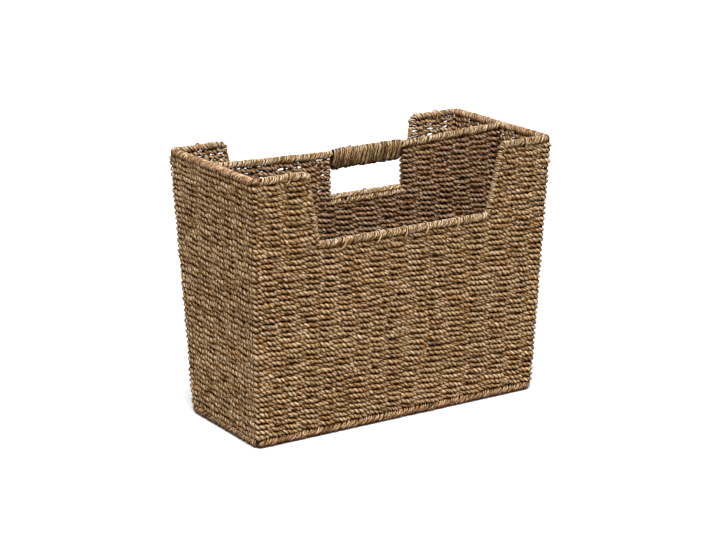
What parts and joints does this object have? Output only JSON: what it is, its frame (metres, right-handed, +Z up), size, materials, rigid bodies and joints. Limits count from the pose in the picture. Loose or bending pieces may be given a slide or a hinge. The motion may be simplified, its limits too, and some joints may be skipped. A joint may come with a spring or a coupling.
{
  "type": "magazine basket",
  "caption": "Tapered seagrass magazine basket with notched long walls and a divider whose hand hole has a wound carrying handle.",
  "frame": {"origin": "middle of the basket's footprint, on the ground", "axes": "+Z up, +X along the length towards the right end, the front long wall faces -Y"},
  "size_m": [0.3814, 0.1846, 0.2978],
  "materials": {
    "frame_wire": "satin, hidden by the cord",
    "wall_seagrass": "woven seagrass cord, mid tan brown",
    "inner_seagrass": "woven seagrass cord, darker inside",
    "rim_seagrass": "wrapped seagrass cord, straw",
    "end_rim_seagrass": "wrapped seagrass cord, reddish brown",
    "foot_seagrass": "wrapped seagrass cord, brown",
    "handle_seagrass": "wound seagrass cord, straw and olive"
  },
  "bodies": {
    "root": {"rim_frame": "frame_wire", "foot_frame": "frame_wire", "corner_post_front_left": "frame_wire", "corner_post_front_right": "frame_wire", "corner_post_back_left": "frame_wire", "corner_post_back_right": "frame_wire", "divider_top_rod": "frame_wire", "divider_frame": "frame_wire", "handle_lower_rod": "frame_wire", "front_wall_weave": "wall_seagrass", "back_wall_weave": "wall_seagrass", "left_end_weave": "wall_seagrass", "right_end_weave": "wall_seagrass", "base_weave": "inner_seagrass", "divider_weave": "inner_seagrass", "left_rim_wrap": "end_rim_seagrass", "right_rim_wrap": "end_rim_seagrass", "front_left_shoulder_wrap": "rim_seagrass", "front_right_shoulder_wrap": "rim_seagrass", "front_notch_wrap": "rim_seagrass", "back_left_shoulder_wrap": "rim_seagrass", "back_right_shoulder_wrap": "rim_seagrass", "back_notch_wrap": "rim_seagrass", "divider_rim_wrap_left": "rim_seagrass", "divider_rim_wrap_right": "rim_seagrass", "hand_hole_sill_wrap": "rim_seagrass", "handle_winding": "handle_seagrass", "foot_wrap_front": "foot_seagrass", "foot_wrap_back": "foot_seagrass", "foot_wrap_left": "foot_seagrass", "foot_wrap_right": "foot_seagrass"}
  },
  "joints": []
}
